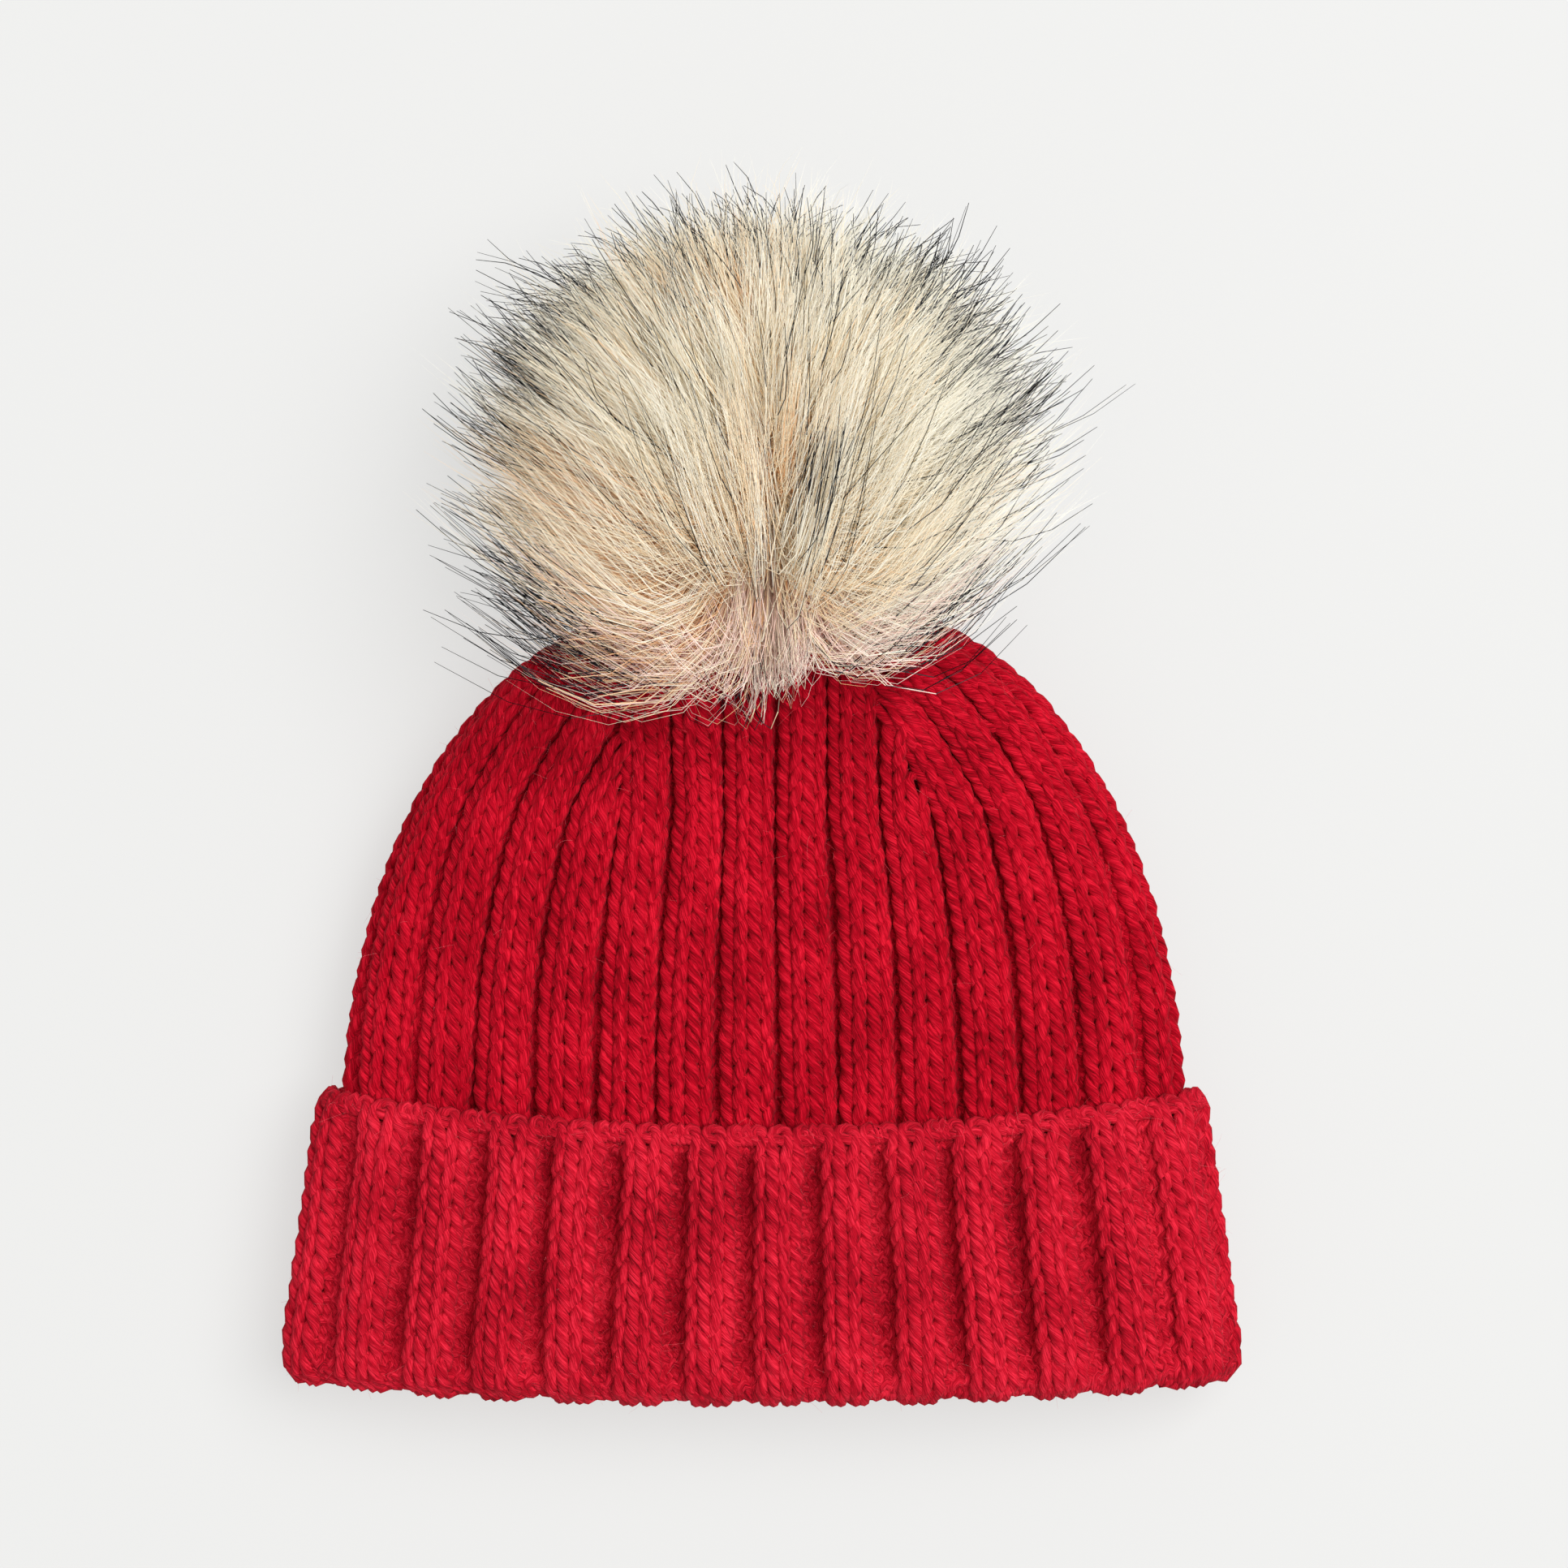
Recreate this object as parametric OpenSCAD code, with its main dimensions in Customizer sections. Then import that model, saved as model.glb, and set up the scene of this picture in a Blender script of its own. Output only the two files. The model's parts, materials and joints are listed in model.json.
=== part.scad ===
// Beanie in 2x2 rib knit with a turned-up cuff and a large fur pom on a press stud.
// The hat lies flat on its back: X runs across it, +Y from the mouth to the pom, +Z up.
// The origin is on the surface it lies on, under the middle of the hat and pom together.

/* [Knitted hat] */
// Width across the cuff, lying flat
cuff_w = 226; // [190:1:250]
// Width of the body where it leaves the cuff
body_w = 200; // [170:1:215]
// Length from the fold of the cuff to the crown tip
hat_l = 192; // [170:1:220]
// Height of the turned-up cuff
cuff_h = 66; // [50:1:80]
// Thickness of one layer of knit
wall = 5; // [3:0.5:6]
// Height of the cuff as it lies, outside to outside
lay_h = 38; // [34:1:44]
// How far the middle of the fold bows out beyond its ends
bow = 4; // [0:0.5:8]
// Number of ribs around the hat
ribs = 28; // [20:2:36]
// Depth of the valley between two ribs
rib_depth = 1.6; // [0.5:0.1:2]

/* [Pom] */
// Width of the fur across its axis
fur_w = 140; // [110:1:150]
// Length of the fur along its axis
fur_l = 114; // [100:1:124]
// Diameter of the stuffed core
core_d = 62; // [50:1:66]
// Thickness of the fur's woven backing
backing = 1.4; // [0.8:0.1:2]
// Height of the pom's axis above the surface
axis_h = 41; // [38:1:50]

/* [Press stud] */
// Diameter of both halves of the press stud
snap_d = 15; // [12:1:16]
// Diameter of the stud's pin
pin_d = 4.6; // [4:0.1:5]
// Radial clearance of the pin and of the spring in the socket
running_gap = 0.06; // [0.02:0.01:0.1]

/* [Label] */
// Width of the care label
label_w = 24; // [15:1:30]
// Length of the folded care label
label_l = 36; // [25:1:45]
// Thickness of one ply of label
label_t = 0.5; // [0.4:0.1:0.8]

/* [Hidden] */
$fn = 48;

red = "#b8122b";
cream = "#e4d3bd";
white = "#f2f0ec";
steel = "#b9bcc0";

// Small gap between pieces that are sewn or knitted together
seat = 0.15;
// Thickness of a layer with that gap
layer = wall + 2 * seat;

// Places along the press stud's axis, measured from the crown tip
plate_t = 0.8;
plate_s = 3.2;
boss_h = 2.4;
stud_s = plate_s + boss_h + 1.6;
disc_t = 1.2;
disc_s = stud_s + plate_t + 0.1;
neck_s = disc_s + disc_t + 0.6;
core_s = neck_s + core_d / 2;

// The crown tip, where the pom hangs, and the ends of the fold and of the cuff's top edge
total_l = hat_l + core_s + fur_l / 2;
tip_y = hat_l - total_l / 2;
fold_y = bow - total_l / 2;
cuff_top_y = fold_y + cuff_h;
tip_hole = 9;

// Stations along the hat: -1 at the fold, 0 where the body leaves the cuff, 1 at the closed tip
crown_station = 0.38;
tip_station = 0.95;
fold_lip = 5;

// ---------- The hat's lying shape ----------

// Smooth step from 0 to 1
function ease(u) = let (c = max(0, min(1, u))) c * c * (3 - 2 * c);

// Cubic curve through its end points
function cubic(p, t) = (1 - t) ^ 3 * p[0] + 3 * (1 - t) ^ 2 * t * p[1]
    + 3 * (1 - t) * t ^ 2 * p[2] + t ^ 3 * p[3];

// Outline of the body and crown in plan: half-width and y
outline_points = [[body_w / 2, cuff_top_y], [0.96 * body_w / 2, cuff_top_y + 68],
                  [0.66 * body_w / 2, tip_y], [0, tip_y]];
fold_half_w = cuff_w / 2 - layer;
function outline(t) = t < 0
    ? [body_w / 2 - t * (fold_half_w - body_w / 2), cuff_top_y + t * cuff_h]
    : cubic(outline_points, t);

// Outline drawn in by a distance at right angles to itself
function inset(t, d) = let (a = outline(t - 0.005), b = outline(t + 0.005),
    run = (b - a) / norm(b - a)) outline(t) - d * [run[1], -run[0]];

// Lowest and highest point of the outer surface at a station
body_h = lay_h - layer + 2.5;
rise_station = 0.45;
function to_tip(t) = max(0, (t - rise_station) / (tip_station - rise_station));
function low_z(t) = layer * (1 - ease((t + 0.02) / 0.25)) + (axis_h - tip_hole) * to_tip(t) ^ 3;
// The top rises evenly along the hat, so that the wall keeps its thickness up to the tip
function rise(t) = let (from = outline(rise_station)[1]) (max(0, outline(t)[1] - from) / (tip_y - from)) ^ 1.2;
function high_z(t) = lay_h - layer + (body_h - lay_h + layer) * ease(t / 0.3)
    + (axis_h + tip_hole - body_h) * rise(t);

// How far the middle of a ring lies below its ends in plan: most at the cuff's top edge
function ring_bow(t) = t < 0 ? bow * (2 + t) : 2 * bow * (1 - ease(t / 0.7));

// One ring of points: a flat oval of the given half-width and height, with ribs standing on it
points_per_rib = 3;
ring_n = ribs * points_per_rib;
spread = 0.995;
function across(angle) = asin(spread * sin(angle)) / asin(spread);
function oval(half_w, mid_z, half_h, y, sag, groove) = [for (k = [0 : ring_n - 1])
    let (angle = 360 * k / ring_n + 180 / ribs, u = across(angle),
         side = cos(angle) < 0 ? -1 : 1, cut = k % points_per_rib == 0 ? groove : 0)
    [u * (half_w - cut), y - sag * (1 - u ^ 2),
     mid_z + side * (half_h - cut) * sqrt(max(0, 1 - u ^ 4))]];

// Ring at a station, drawn in by a depth
function hat_ring(t, depth, groove) = let (edge = inset(t, depth), lo = low_z(t) + depth,
    hi = high_z(t) - depth) oval(edge[0], (lo + hi) / 2, (hi - lo) / 2, edge[1], ring_bow(t), groove);

// Closed ring-shaped solid through a loop of rings
module ring_solid(rings) {
    count = len(rings);
    faces = [for (i = [0 : count - 1], k = [0 : ring_n - 1], half = [0, 1])
        let (j = (i + 1) % count, m = (k + 1) % ring_n,
             a = i * ring_n + k, b = i * ring_n + m, c = j * ring_n + m, d = j * ring_n + k)
        half == 0 ? [a, b, c] : [a, c, d]];
    polyhedron(points = [for (ring = rings) each ring], faces = faces, convexity = 6);
}

// Ribs flatten out towards the tip
function groove_at(t) = rib_depth * (1 - ease((t - 0.7) / 0.3));

// Stations at equal steps
function steps_between(from, to, steps) = [for (i = [0 : steps]) from + (to - from) * i / steps];
body_at = concat(steps_between(-1 + (fold_lip + 0.9) / cuff_h, -0.02, 4),
    steps_between(0.06, crown_station - 0.004, 4));
crown_at = steps_between(crown_station, tip_station, 9);

// Layer of knit through a list of stations
module knit_layer(at) {
    ring_solid(concat([for (t = at) hat_ring(t, 0, groove_at(t))],
        [for (i = [len(at) - 1 : -1 : 0]) hat_ring(at[i], wall, 0)]));
}

module knit_body() color(red) knit_layer(body_at);

module knit_crown() color(red) knit_layer(crown_at);

// Ring of the cuff at a height above the fold, from 0 to 1, narrowing towards its top edge
function band(depth, v, groove) = oval(cuff_w / 2 - v * (fold_half_w - body_w / 2) - depth,
    lay_h / 2, lay_h / 2 - depth, fold_y + v * cuff_h, ring_bow(v - 1), groove);

// The cuff: an outer band, and at the fold a lip as thick as both layers
module turn_up_cuff() color(red) {
    lip = fold_lip / cuff_h;
    ring_solid(concat(
        [band(2 * wall, lip, 0), band(2 * wall, 0.03, 0), band(1.4 * wall, 0, 0), band(0.6 * wall, 0, 0)],
        [for (v = [0.07, 0.3, 0.6, 0.9]) band(0, v, rib_depth)],
        [band(0.3 * wall, 0.98, rib_depth), band(0.8 * wall, 0.98, 0), band(wall, 0.93, 0)],
        [for (v = [0.6, 0.3]) band(wall, v, 0)], [band(wall, lip, 0)]));
}

// ---------- Inside the hat ----------

// Place of the lower layer's inner face at a station, along the middle of the back: y and z
function back_at(t) = [inset(t, wall)[1] - ring_bow(t), low_z(t) + wall];

// Flat cord of seam yarn that follows a list of points in the YZ plane
module seam_cord(path, w, h) {
    sides = 8;
    count = len(path);
    section = [for (k = [0 : sides - 1]) [cos(360 * k / sides) * w / 2, sin(360 * k / sides) * h / 2]];
    points = [for (p = path, s = section) [s[0], p[0], p[1] + s[1]]];
    walls = [for (i = [0 : count - 2], k = [0 : sides - 1])
        let (m = (k + 1) % sides) [i * sides + k, i * sides + m, (i + 1) * sides + m, (i + 1) * sides + k]];
    start = [for (k = [sides - 1 : -1 : 0]) k];
    end = [for (k = [0 : sides - 1]) (count - 1) * sides + k];
    polyhedron(points = points, faces = concat([start], walls, [end]));
}

// The seam runs from the cuff to where the crown narrows
seam_w = 6;
seam_h = 2.4;
seam_lift = 0.2;
module back_seam() color(red) {
    stations = concat(body_at, [for (i = [1 : 4]) crown_at[i]]);
    seam_cord([for (t = stations) back_at(t) + [0, seam_h / 2 + seam_lift]], seam_w, seam_h);
}

label_x = seam_w / 2 + 1;
label_y = cuff_top_y - 20;
label_z = layer + wall + 0.3;

// One strip of satin, folded on itself with a round fold at its free end
module care_label() color(white) {
    fold_r = 1.5 * label_t;
    translate([label_x, label_y - label_l, label_z]) rotate([90, 0, 90]) linear_extrude(label_w) {
        translate([fold_r, 0]) square([label_l - fold_r, label_t]);
        translate([fold_r, 2 * label_t]) square([label_l - fold_r, label_t]);
        translate([fold_r, fold_r]) intersection() {
            difference() {
                circle(fold_r);
                circle(fold_r - label_t);
            }
            translate([-fold_r, -fold_r]) square([fold_r, 2 * fold_r]);
        }
    }
}

// Bars of thread across the label's sewn end
module label_stitches() color(white) {
    thread_r = 0.3;
    stitches = 5;
    pitch = label_w / stitches;
    for (i = [0 : stitches - 1])
        translate([label_x + (i + 0.2) * pitch, label_y - 3, label_z + 3 * label_t + thread_r + 0.05])
            rotate([0, 90, 0]) cylinder(r = thread_r, h = 0.6 * pitch);
}

// ---------- The press stud and the pom, all turned about one axis ----------

module on_axis() {
    translate([0, tip_y, axis_h]) rotate([-90, 0, 0]) children();
}

// Washer from one height to another
module washer(outer_r, inner_r, from, to) {
    translate([0, 0, from]) difference() {
        cylinder(r = outer_r, h = to - from);
        translate([0, 0, -1]) cylinder(r = inner_r, h = to - from + 2);
    }
}

module ring(major, minor, at) {
    translate([0, 0, at]) rotate_extrude() translate([major, 0]) circle(minor, $fn = 24);
}

module gather_yarn() color(red) on_axis() ring(3.2, 1.1, 0.2);

// Four sewing holes and the loops of thread through them
holes = 4;
hole_r = 0.8;
hole_at = 5.6;
module at_holes(at) {
    for (i = [0 : holes - 1]) rotate([0, 0, 45 + 360 * i / holes]) translate([at, 0, 0]) children();
}
module thread_loops(mid) {
    loop_r = 1.15;
    at_holes(hole_at + loop_r + 0.15) translate([0, 0, mid]) rotate([90, 0, 0])
        rotate_extrude() translate([loop_r, 0]) circle(0.28, $fn = 16);
}

pin_r = pin_d / 2;
spring_wire_r = 0.4;
groove_r = pin_r + 0.12 + 2 * spring_wire_r + running_gap;
groove_s = plate_s + 1.1;
module snap_socket() color(steel) on_axis() difference() {
    union() {
        washer(snap_d / 2, pin_r + running_gap, plate_s, plate_s + plate_t);
        washer(groove_r + 0.8, pin_r + running_gap, plate_s, plate_s + boss_h);
    }
    at_holes(hole_at) translate([0, 0, plate_s - 1]) cylinder(r = hole_r, h = plate_t + 2);
    translate([0, 0, groove_s - spring_wire_r - 0.05]) cylinder(r = groove_r, h = 2 * spring_wire_r + 0.1);
}

module socket_stitches() color(white) on_axis() thread_loops(plate_s + plate_t / 2);

module snap_spring() color(steel) on_axis() ring(groove_r - running_gap - spring_wire_r, spring_wire_r, groove_s);

module snap_stud() color(steel) on_axis() {
    pin_s = plate_s + 0.2;
    difference() {
        translate([0, 0, stud_s]) cylinder(r = snap_d / 2, h = plate_t);
        at_holes(hole_at) translate([0, 0, stud_s - 1]) cylinder(r = hole_r, h = plate_t + 2);
    }
    translate([0, 0, pin_s]) cylinder(r = pin_r, h = stud_s - pin_s + plate_t / 2);
}

module stud_stitches() color(white) on_axis() thread_loops(stud_s + plate_t / 2);

disc_r = 12;
module pom_base_disc() color(cream) on_axis() translate([0, 0, disc_s]) cylinder(r = disc_r, h = disc_t);

neck_r = 10;
thread_r = 0.7;
module pom_gather_thread() color(white) on_axis() ring(neck_r + thread_r, thread_r, disc_s + disc_t + thread_r + 0.1);

core_r = core_d / 2;
module pom_backing() color(cream) on_axis() difference() {
    translate([0, 0, core_s]) sphere(core_r);
    translate([0, 0, core_s]) sphere(core_r - backing);
    translate([0, 0, core_s - core_r - 1]) cylinder(r = neck_r, h = core_r);
}

module pom_stuffing() color(white) on_axis() translate([0, 0, core_s]) sphere(core_r - backing - 0.1);

// Half-section of the fur's outside: a round with a flat run of radius flat_r in its middle
module fur_section() {
    round_r = fur_l / 2;
    flat_r = fur_w / 2 - round_r;
    intersection() {
        union() {
            translate([flat_r, 0]) circle(round_r);
            translate([0, -round_r]) square([flat_r, 2 * round_r]);
        }
        translate([0, -round_r]) square([fur_w, 2 * round_r]);
    }
}

// Fur: a round mass about the core, with a dish towards the crown and a flat where it lies
dish_r = 50;
module pom_fur() color(cream) difference() {
    on_axis() difference() {
        translate([0, 0, core_s]) rotate_extrude() fur_section();
        translate([0, 0, core_s]) sphere(core_r + 0.1);
        rotate_extrude() polygon([[0, disc_s], [disc_r, disc_s], [dish_r, disc_s + 1], [1.5 * dish_r, -4],
                                  [1.5 * dish_r, -fur_l], [0, -fur_l]]);
        cylinder(r = disc_r + 0.5, h = neck_s + 4);
    }
    translate([-fur_w, -2 * fur_w, -2 * fur_w]) cube([2 * fur_w, 5 * fur_w, 2 * fur_w]);
}

knit_body();
knit_crown();
turn_up_cuff();
back_seam();
care_label();
label_stitches();
gather_yarn();
snap_socket();
socket_stitches();
snap_spring();
snap_stud();
stud_stitches();
pom_base_disc();
pom_gather_thread();
pom_backing();
pom_stuffing();
pom_fur();
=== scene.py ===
"""Looks of a rib-knit beanie with a fur pom: yarn laid stitch by stitch over the lying hat, and hairs on the core.

Lengths are in millimetres until a mesh is made. X runs across the hat, +Y from its mouth to the pom, +Z up.
"""

import json
import math

import bpy
import numpy as np
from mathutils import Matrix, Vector


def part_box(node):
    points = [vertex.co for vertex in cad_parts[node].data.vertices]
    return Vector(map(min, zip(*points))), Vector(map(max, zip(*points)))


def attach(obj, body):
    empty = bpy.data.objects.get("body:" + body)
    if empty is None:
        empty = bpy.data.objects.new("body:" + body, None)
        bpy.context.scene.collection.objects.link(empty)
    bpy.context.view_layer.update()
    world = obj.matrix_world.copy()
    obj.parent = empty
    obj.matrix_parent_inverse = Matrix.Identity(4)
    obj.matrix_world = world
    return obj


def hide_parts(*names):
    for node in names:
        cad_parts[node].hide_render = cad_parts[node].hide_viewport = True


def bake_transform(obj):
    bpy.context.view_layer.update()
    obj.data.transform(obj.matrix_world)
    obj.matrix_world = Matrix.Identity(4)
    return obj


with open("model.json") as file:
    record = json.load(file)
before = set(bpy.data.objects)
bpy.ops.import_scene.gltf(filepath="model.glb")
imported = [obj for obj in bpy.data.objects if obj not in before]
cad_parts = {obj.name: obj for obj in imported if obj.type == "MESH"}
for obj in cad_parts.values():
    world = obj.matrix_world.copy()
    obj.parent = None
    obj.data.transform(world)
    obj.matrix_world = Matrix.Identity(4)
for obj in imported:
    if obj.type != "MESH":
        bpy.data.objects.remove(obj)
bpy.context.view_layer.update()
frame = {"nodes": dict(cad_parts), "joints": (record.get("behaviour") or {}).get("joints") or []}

MM = 0.001
TAU = 2 * math.pi


def node_box(name):
    """Lowest and highest corner of a CAD node, in millimetres."""
    low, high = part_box(name)
    return np.array(low) / MM, np.array(high) / MM


# ---------- Sizes, worked out from the frame ----------

CUFF_LOW, CUFF_HIGH = node_box("turn_up_cuff")
CORE_LOW, CORE_HIGH = node_box("pom_backing")
TIP = np.array(frame["joints"][0]["pos_m"]) / MM

WALL = 5.0
LAYER = WALL + 0.3
# The crests of the yarn's ribs stand out past the CAD cuff's sides
CREST_ROOM = 2.6
CUFF_HALF_W = (CUFF_HIGH[0] - CUFF_LOW[0]) / 2 + CREST_ROOM
LAY_H = CUFF_HIGH[2]
BOW = 4.0
FOLD_Y = CUFF_LOW[1] + BOW
CUFF_H = 66.0
CUFF_TOP_Y = FOLD_Y + CUFF_H
BODY_HALF_W = 100.0
FOLD_HALF_W = CUFF_HALF_W - LAYER
BODY_LOFT = 2.5
BODY_H = LAY_H - LAYER + BODY_LOFT
TIP_STATION, TIP_HOLE = 0.95, 9.0
LEAST_HALF_W = 0.4
RISE_STATION = 0.45
ROUND_STATION, ROUND_RUN = 0.9, 0.05

# ---------- Knit ----------

HALF_WALES = 56
CENTRE_WALES = 24
SIDE_WALES = (HALF_WALES - CENTRE_WALES) / 2
RIB_WALES = 4
ROW_PITCH = 5.3
YARN_R = 1.45
STITCH_DEPTH = 1.0
LOOP_REACH = 0.97
LOOP_SWAY = 0.225
DECREASE_STATION = 0.40


def ease(u):
    """Smooth step from 0 to 1."""
    c = np.clip(u, 0, 1)
    return c * c * (3 - 2 * c)


def unit(v):
    """Vectors of length 1 in the same directions."""
    return v / np.maximum(np.linalg.norm(v, axis=-1, keepdims=True), 1e-9)


def running(steps):
    """Running total of steps, from 0."""
    return np.concatenate([[0], np.cumsum(steps)])


OUTLINE = np.array([[BODY_HALF_W, CUFF_TOP_Y], [0.96 * BODY_HALF_W, CUFF_TOP_Y + 68],
                    [0.66 * BODY_HALF_W, TIP[1]], [0, TIP[1]]])


def outline(t):
    """Half-width and y of the body's edge at a station: -1 at the fold, 0 at the cuff's top edge, 1 at the tip."""
    if t < 0:
        return np.array([BODY_HALF_W - t * (FOLD_HALF_W - BODY_HALF_W), CUFF_TOP_Y + t * CUFF_H])
    weights = np.array([(1 - t) ** 3, 3 * (1 - t) ** 2 * t, 3 * (1 - t) * t**2, t**3])
    return weights @ OUTLINE


def inset(t, depth):
    """The edge at a station, drawn in at right angles to itself."""
    run = outline(t + 0.005) - outline(t - 0.005)
    run /= np.linalg.norm(run)
    return outline(t) - depth * np.array([run[1], -run[0]])


def ring_bow(t):
    """How far the middle of a ring lies below its ends in plan."""
    return BOW * (2 + t) if t < 0 else 2 * BOW * (1 - ease(t / 0.7))


def body_ring(t, depth):
    """Half-width, middle height, half-height, edge y and bow of the body at a station, at a depth below its surface."""
    to_tip = max(0.0, (t - RISE_STATION) / (TIP_STATION - RISE_STATION))
    rise_y = outline(RISE_STATION)[1]
    rise = (max(0.0, outline(t)[1] - rise_y) / (TIP[1] - rise_y)) ** 1.2
    half_w, y = inset(t, depth)
    half_w = max(half_w, LEAST_HALF_W)
    low = LAYER * (1 - ease((t + 0.02) / 0.25)) + (TIP[2] - TIP_HOLE) * to_tip**3
    high = LAY_H - LAYER + BODY_LOFT * ease(t / 0.3) + (TIP[2] + TIP_HOLE - BODY_H) * rise
    middle, half_h = (low + high) / 2, (high - low) / 2 - depth
    if t > ROUND_STATION:
        round_off = ease((t - ROUND_STATION) / ROUND_RUN)
        half_h += (min(half_h, half_w) - half_h) * round_off
        middle += (TIP[2] - middle) * round_off
    return half_w, middle, half_h, y, ring_bow(t)


def cuff_ring(run, depth):
    """The same for the cuff, at a run down from its top edge, as the fabric turns under at the fold."""
    height = CUFF_H - run
    half_w = CUFF_HALF_W - height / CUFF_H * (FOLD_HALF_W - BODY_HALF_W) - depth
    return half_w, LAY_H / 2, LAY_H / 2 - depth, FOLD_Y + height, ring_bow(height / CUFF_H - 1)


class Cloth:
    """A tube of fabric: a grid of places, directions around and normals, over rows and fractions of a half turn."""

    COLUMNS = 480
    ROW_STEPS = 6
    ARC_POINTS = 400
    # Under 1: how closely a ring's points gather at its sides, where it turns sharply
    GATHERING = 0.998

    def __init__(self, rings, side, lead=0):
        """rings has one (half_w, middle, half_h, y, bow) for each row step, from lead rows before row 0. side is 1 or
        -1, to turn the normals outwards."""
        self.lead = lead
        across = np.linspace(-math.pi / 2, math.pi / 2, self.ARC_POINTS)
        reach = np.arcsin(self.GATHERING * np.sin(across)) / math.asin(self.GATHERING)
        rise = np.sqrt(np.clip(1 - reach**4, 0, None))
        lines, self.half_turn = [], []
        for half_w, middle, half_h, y, bow in rings:
            x = np.concatenate([reach, reach[-2::-1]]) * half_w
            z = middle + np.concatenate([rise, -rise[-2::-1]]) * half_h
            run = running(np.hypot(np.diff(x), np.diff(z)))
            wanted = np.linspace(0, run[-1], self.COLUMNS, endpoint=False)
            x, z = np.interp(wanted, run, x), np.interp(wanted, run, z)
            lines.append(np.stack([x, y - bow * (1 - (x / half_w) ** 2), z], 1))
            self.half_turn.append(run[-1] / 2)
        self.places = np.array(lines)
        self.half_turn = np.array(self.half_turn)
        around = np.roll(self.places, -1, 1) - np.roll(self.places, 1, 1)
        along = np.gradient(self.places, axis=0)
        normal = np.cross(around, along) * side
        self.around, self.normal = unit(around), unit(normal)

    def at(self, row, turn):
        """Place, direction around, normal and half-turn length at rows and fractions of a half turn, 0 to 2."""
        row = row + self.lead
        r = np.clip(row * self.ROW_STEPS, 0, len(self.places) - 1.001)
        c = np.mod(turn, 2) * self.COLUMNS / 2
        r0, c0 = r.astype(int), c.astype(int)
        fr, fc = (r - r0)[:, None], (c - c0)[:, None]
        c0, c1 = c0 % self.COLUMNS, (c0 + 1) % self.COLUMNS
        found = []
        for grid in (self.places, self.around, self.normal):
            near = grid[r0, c0] * (1 - fc) + grid[r0, c1] * fc
            far = grid[r0 + 1, c0] * (1 - fc) + grid[r0 + 1, c1] * fc
            found.append(near * (1 - fr) + far * fr)
        length = self.half_turn[r0] * (1 - fr[:, 0]) + self.half_turn[r0 + 1] * fr[:, 0]
        return (*found, length)


def ring_quads(rings, sides, steps):
    """Quads that join rings of points, with the ring and the side each starts at. With as many steps as rings, the
    last ring is joined to the first."""
    i, k = np.meshgrid(np.arange(steps), np.arange(sides), indexing="ij")
    j, m = (i + 1) % rings, (k + 1) % sides
    return np.stack([i * sides + k, j * sides + k, j * sides + m, i * sides + m], -1).reshape(-1, 4), i, k


class Tubes:
    """Yarns and threads gathered into one mesh of tubes, with a yarn UV and a laid-out UV for baking."""

    def __init__(self, strips):
        """strips is how many tubes the laid-out UV has room for, one above the other."""
        self.verts, self.quads, self.yarn_uv, self.page_uv = [], [], [], []
        self.count, self.strips = 0, strips

    def add(self, line, up, radius, sides, strip, closed=True):
        """A tube along line. up is the direction that the section's first corner faces, one or one for each point."""
        n = len(line)
        if closed:
            tangent = unit(np.roll(line, -1, 0) - np.roll(line, 1, 0))
        else:
            tangent = unit(np.gradient(line, axis=0))
        u = unit(up - tangent * np.sum(up * tangent, 1, keepdims=True))
        v = np.cross(tangent, u)
        angle = TAU * np.arange(sides) / sides
        section = u[:, None] * np.cos(angle)[None, :, None] + v[:, None] * np.sin(angle)[None, :, None]
        points = line[:, None] + section * np.broadcast_to(radius, n)[:, None, None]
        self.verts.append(points.reshape(-1, 3))
        steps = n if closed else n - 1
        quads, i, k = ring_quads(n, sides, steps)
        self.quads.append(quads + self.count)
        self.count += n * sides
        run = running(np.linalg.norm(np.roll(line, -1, 0) - line, axis=1))
        u0, u1 = run[i], run[i + 1]
        v0, v1 = k / sides, (k + 1) / sides
        self.yarn_uv.append(np.stack([u0, v0, u1, v0, u1, v1, u0, v1], -1).reshape(-1, 2) * [MM, 1])
        total = run[steps]
        lane = (strip + 0.04 + 0.92 * np.stack([v0, v1], 0)) / self.strips
        a0, a1 = 0.002 + 0.996 * u0 / total, 0.002 + 0.996 * u1 / total
        self.page_uv.append(np.stack([a0, lane[0], a1, lane[0], a1, lane[1], a0, lane[1]], -1).reshape(-1, 2))

    def build(self, name, material):
        """One object of all the tubes."""
        mesh = mesh_from(name, np.concatenate(self.verts) * MM, np.concatenate(self.quads))
        for layer, data in (("yarn", self.yarn_uv), ("OFBake", self.page_uv)):
            mesh.uv_layers.new(name=layer).data.foreach_set("uv", np.concatenate(data).astype(np.float32).ravel())
        return link(name, mesh, material)


def mesh_from(name, verts, faces):
    """A smooth mesh from arrays of points and of faces that all have the same number of corners."""
    mesh = bpy.data.meshes.new(name)
    corners = faces.shape[1]
    mesh.vertices.add(len(verts))
    mesh.vertices.foreach_set("co", verts.astype(np.float32).ravel())
    mesh.loops.add(faces.size)
    mesh.loops.foreach_set("vertex_index", faces.astype(np.int32).ravel())
    mesh.polygons.add(len(faces))
    mesh.polygons.foreach_set("loop_start", np.arange(0, faces.size, corners, dtype=np.int32))
    mesh.polygons.foreach_set("use_smooth", np.ones(len(faces), bool))
    mesh.update(calc_edges=True)
    return mesh


def link(name, mesh, *materials):
    """A new object of the mesh and its materials, in the scene."""
    for material in materials:
        mesh.materials.append(material)
    obj = bpy.data.objects.new(name, mesh)
    bpy.context.scene.collection.objects.link(obj)
    return obj


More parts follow.
